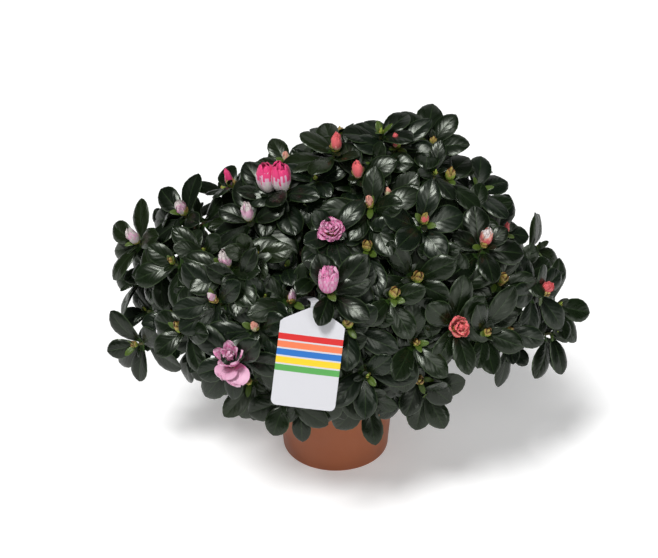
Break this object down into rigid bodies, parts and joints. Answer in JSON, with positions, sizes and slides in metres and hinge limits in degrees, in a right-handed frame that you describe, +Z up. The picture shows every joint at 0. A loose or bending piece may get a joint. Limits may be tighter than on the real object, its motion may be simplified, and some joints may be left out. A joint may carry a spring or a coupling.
{
  "type": "potted azalea shrub",
  "caption": "Small evergreen shrub in a round plastic pot: a short trunk, thin boughs and a broad dome of leafy twigs with buds, half-open double flowers and a hanging plant label.",
  "frame": {"origin": "centre of the pot's flat underside", "axes": "+Z up, -Y towards the side with the label, +X to that side's right, along the crown's longest way"},
  "size_m": [0.5014, 0.376, 0.386],
  "materials": {
    "pot": "satin moulded plastic, terracotta brown",
    "soil": "dark crumbly bark and peat",
    "bark": "thin brown bark, finely ridged",
    "foliage": "glossy dark green leaves",
    "label": "smooth white sheet plastic with plain coloured bands"
  },
  "bodies": {
    "root": {"pot": "pot", "soil": "soil", "trunk": "bark", "label": "label", "bough_top": "bark", "bough_upper_1": "bark", "bough_upper_2": "bark", "bough_upper_3": "bark", "bough_upper_4": "bark", "bough_middle_1": "bark", "bough_middle_2": "bark", "bough_middle_3": "bark", "bough_middle_4": "bark", "bough_middle_5": "bark", "bough_middle_6": "bark", "bough_middle_7": "bark", "bough_skirt_1": "bark", "bough_skirt_2": "bark", "bough_skirt_3": "bark", "bough_skirt_4": "bark", "bough_skirt_5": "bark", "crown_top": "foliage", "crown_upper_1": "foliage", "crown_upper_2": "foliage", "crown_upper_3": "foliage", "crown_upper_4": "foliage", "crown_middle_1": "foliage", "crown_middle_2": "foliage", "crown_middle_3": "foliage", "crown_middle_4": "foliage", "crown_middle_5": "foliage", "crown_middle_6": "foliage", "crown_middle_7": "foliage", "crown_skirt_1": "foliage", "crown_skirt_2": "foliage", "crown_skirt_3": "foliage", "crown_skirt_4": "foliage", "crown_skirt_5": "foliage"}
  },
  "joints": []
}
